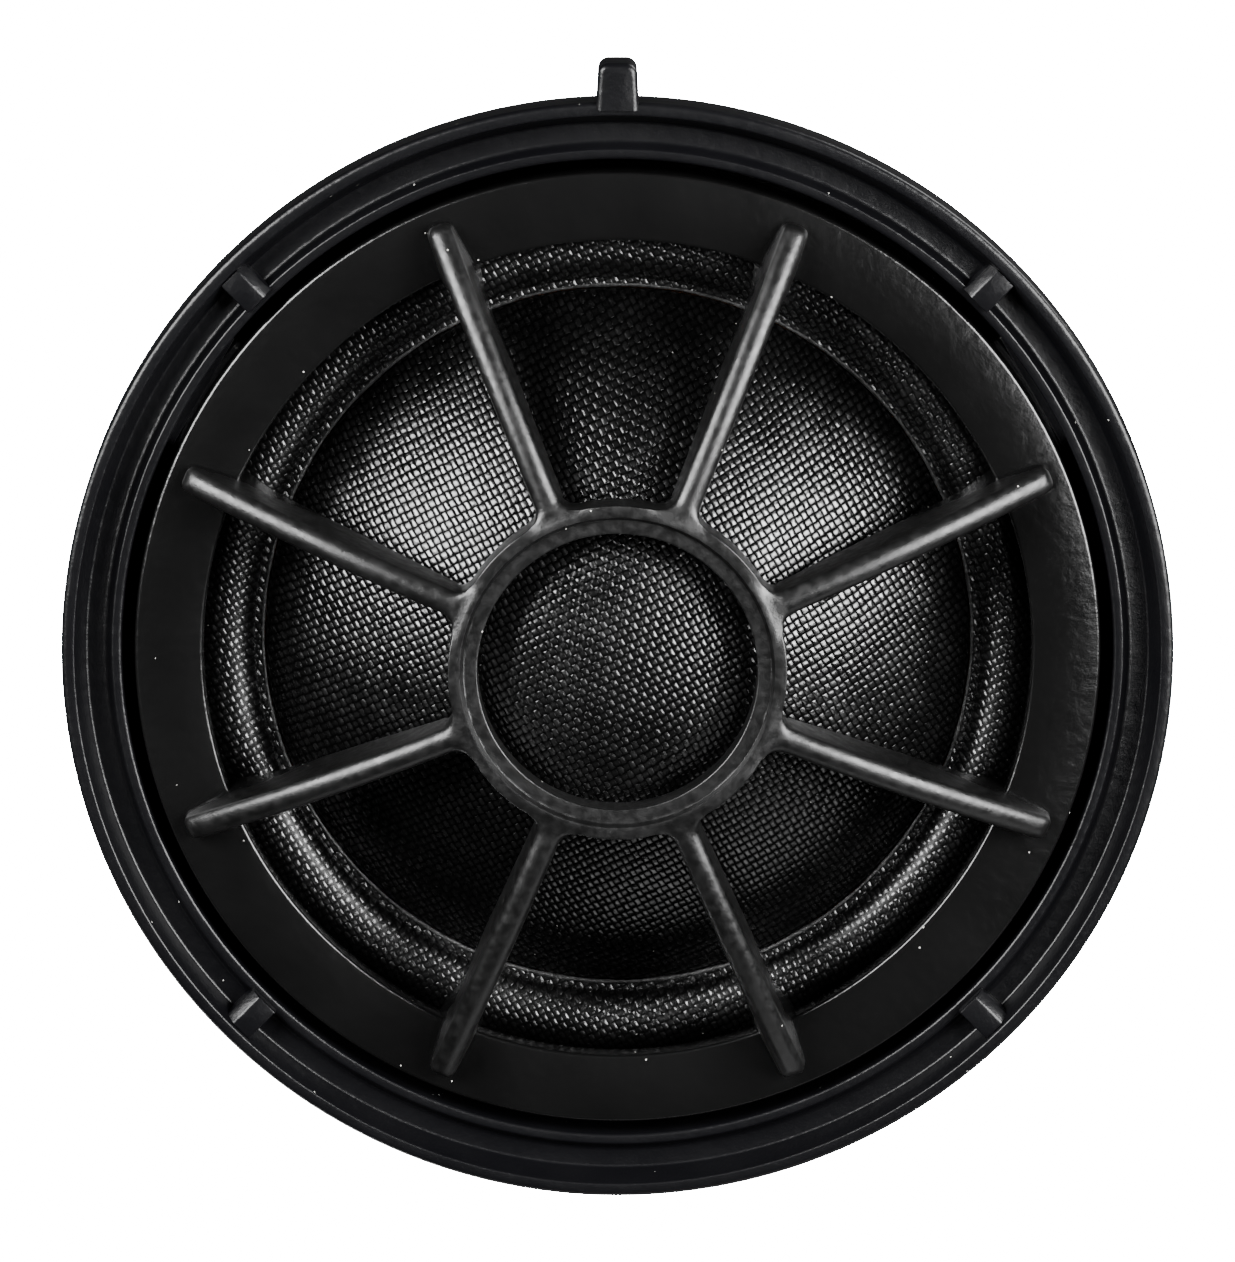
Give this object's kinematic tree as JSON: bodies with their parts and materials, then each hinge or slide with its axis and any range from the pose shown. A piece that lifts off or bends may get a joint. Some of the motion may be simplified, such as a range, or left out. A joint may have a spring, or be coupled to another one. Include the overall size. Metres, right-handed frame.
{
  "type": "car tweeter",
  "caption": "Round soft-dome car tweeter with an open spoked guard, set in a snap-in panel ring with a key tab on its rim.",
  "frame": {"origin": "on the acoustic axis, in the plane where the ring's flange seats on the panel", "axes": "+Z out of the front of the tweeter, +Y towards the key tab on the rim"},
  "size_m": [0.04, 0.0414, 0.021],
  "materials": {
    "ring_plastic": "satin black moulded ABS with a fine grain",
    "guard_plastic": "satin black glass-filled nylon, smoother and shinier on the spokes",
    "coated_silk": "black plain-weave silk with a glossy damping coat",
    "seam_adhesive": "clear glossy adhesive over black cloth",
    "carrier_plastic": "matt black",
    "plated_steel": "zinc plate, clear passivated",
    "nickel_plate": "nickel plate",
    "grey_felt": "pressed wool felt",
    "chassis_plastic": "matt black glass-filled nylon",
    "tinned_brass": "bright tin plate over brass",
    "rivet_brass": "bare brass",
    "solder": "bright tin solder",
    "copper_braid": "copper",
    "black_screw": "black zinc",
    "polyimide_film": "amber polyimide film"
  },
  "bodies": {
    "frame": {"mounting_ring": "ring_plastic", "faceplate_guard": "guard_plastic", "surround": "coated_silk", "diaphragm_ring": "carrier_plastic", "pole_plate": "plated_steel", "neodymium_magnet": "nickel_plate", "yoke_cup": "plated_steel", "damping_pad": "grey_felt", "chassis": "chassis_plastic", "terminal_positive": "tinned_brass", "terminal_negative": "tinned_brass", "terminal_rivets": "rivet_brass", "solder_joints": "solder", "lead_wire_positive": "copper_braid", "lead_wire_negative": "copper_braid", "rear_chamber": "chassis_plastic", "chamber_felt": "grey_felt", "chamber_screws": "black_screw"},
    "diaphragm": {"dome": "coated_silk", "seam_bead": "seam_adhesive", "coil_former": "polyimide_film", "voice_coil": "copper_braid"}
  },
  "joints": [
    {"name": "dome_travel", "type": "slide", "parent": "frame", "child": "diaphragm", "axis": [0, 0, 1], "range_m": [-0.00035, 0.00035], "stiffness_N_per_m": 2000, "deforming": ["surround", "lead_wire_positive", "lead_wire_negative"]}
  ]
}
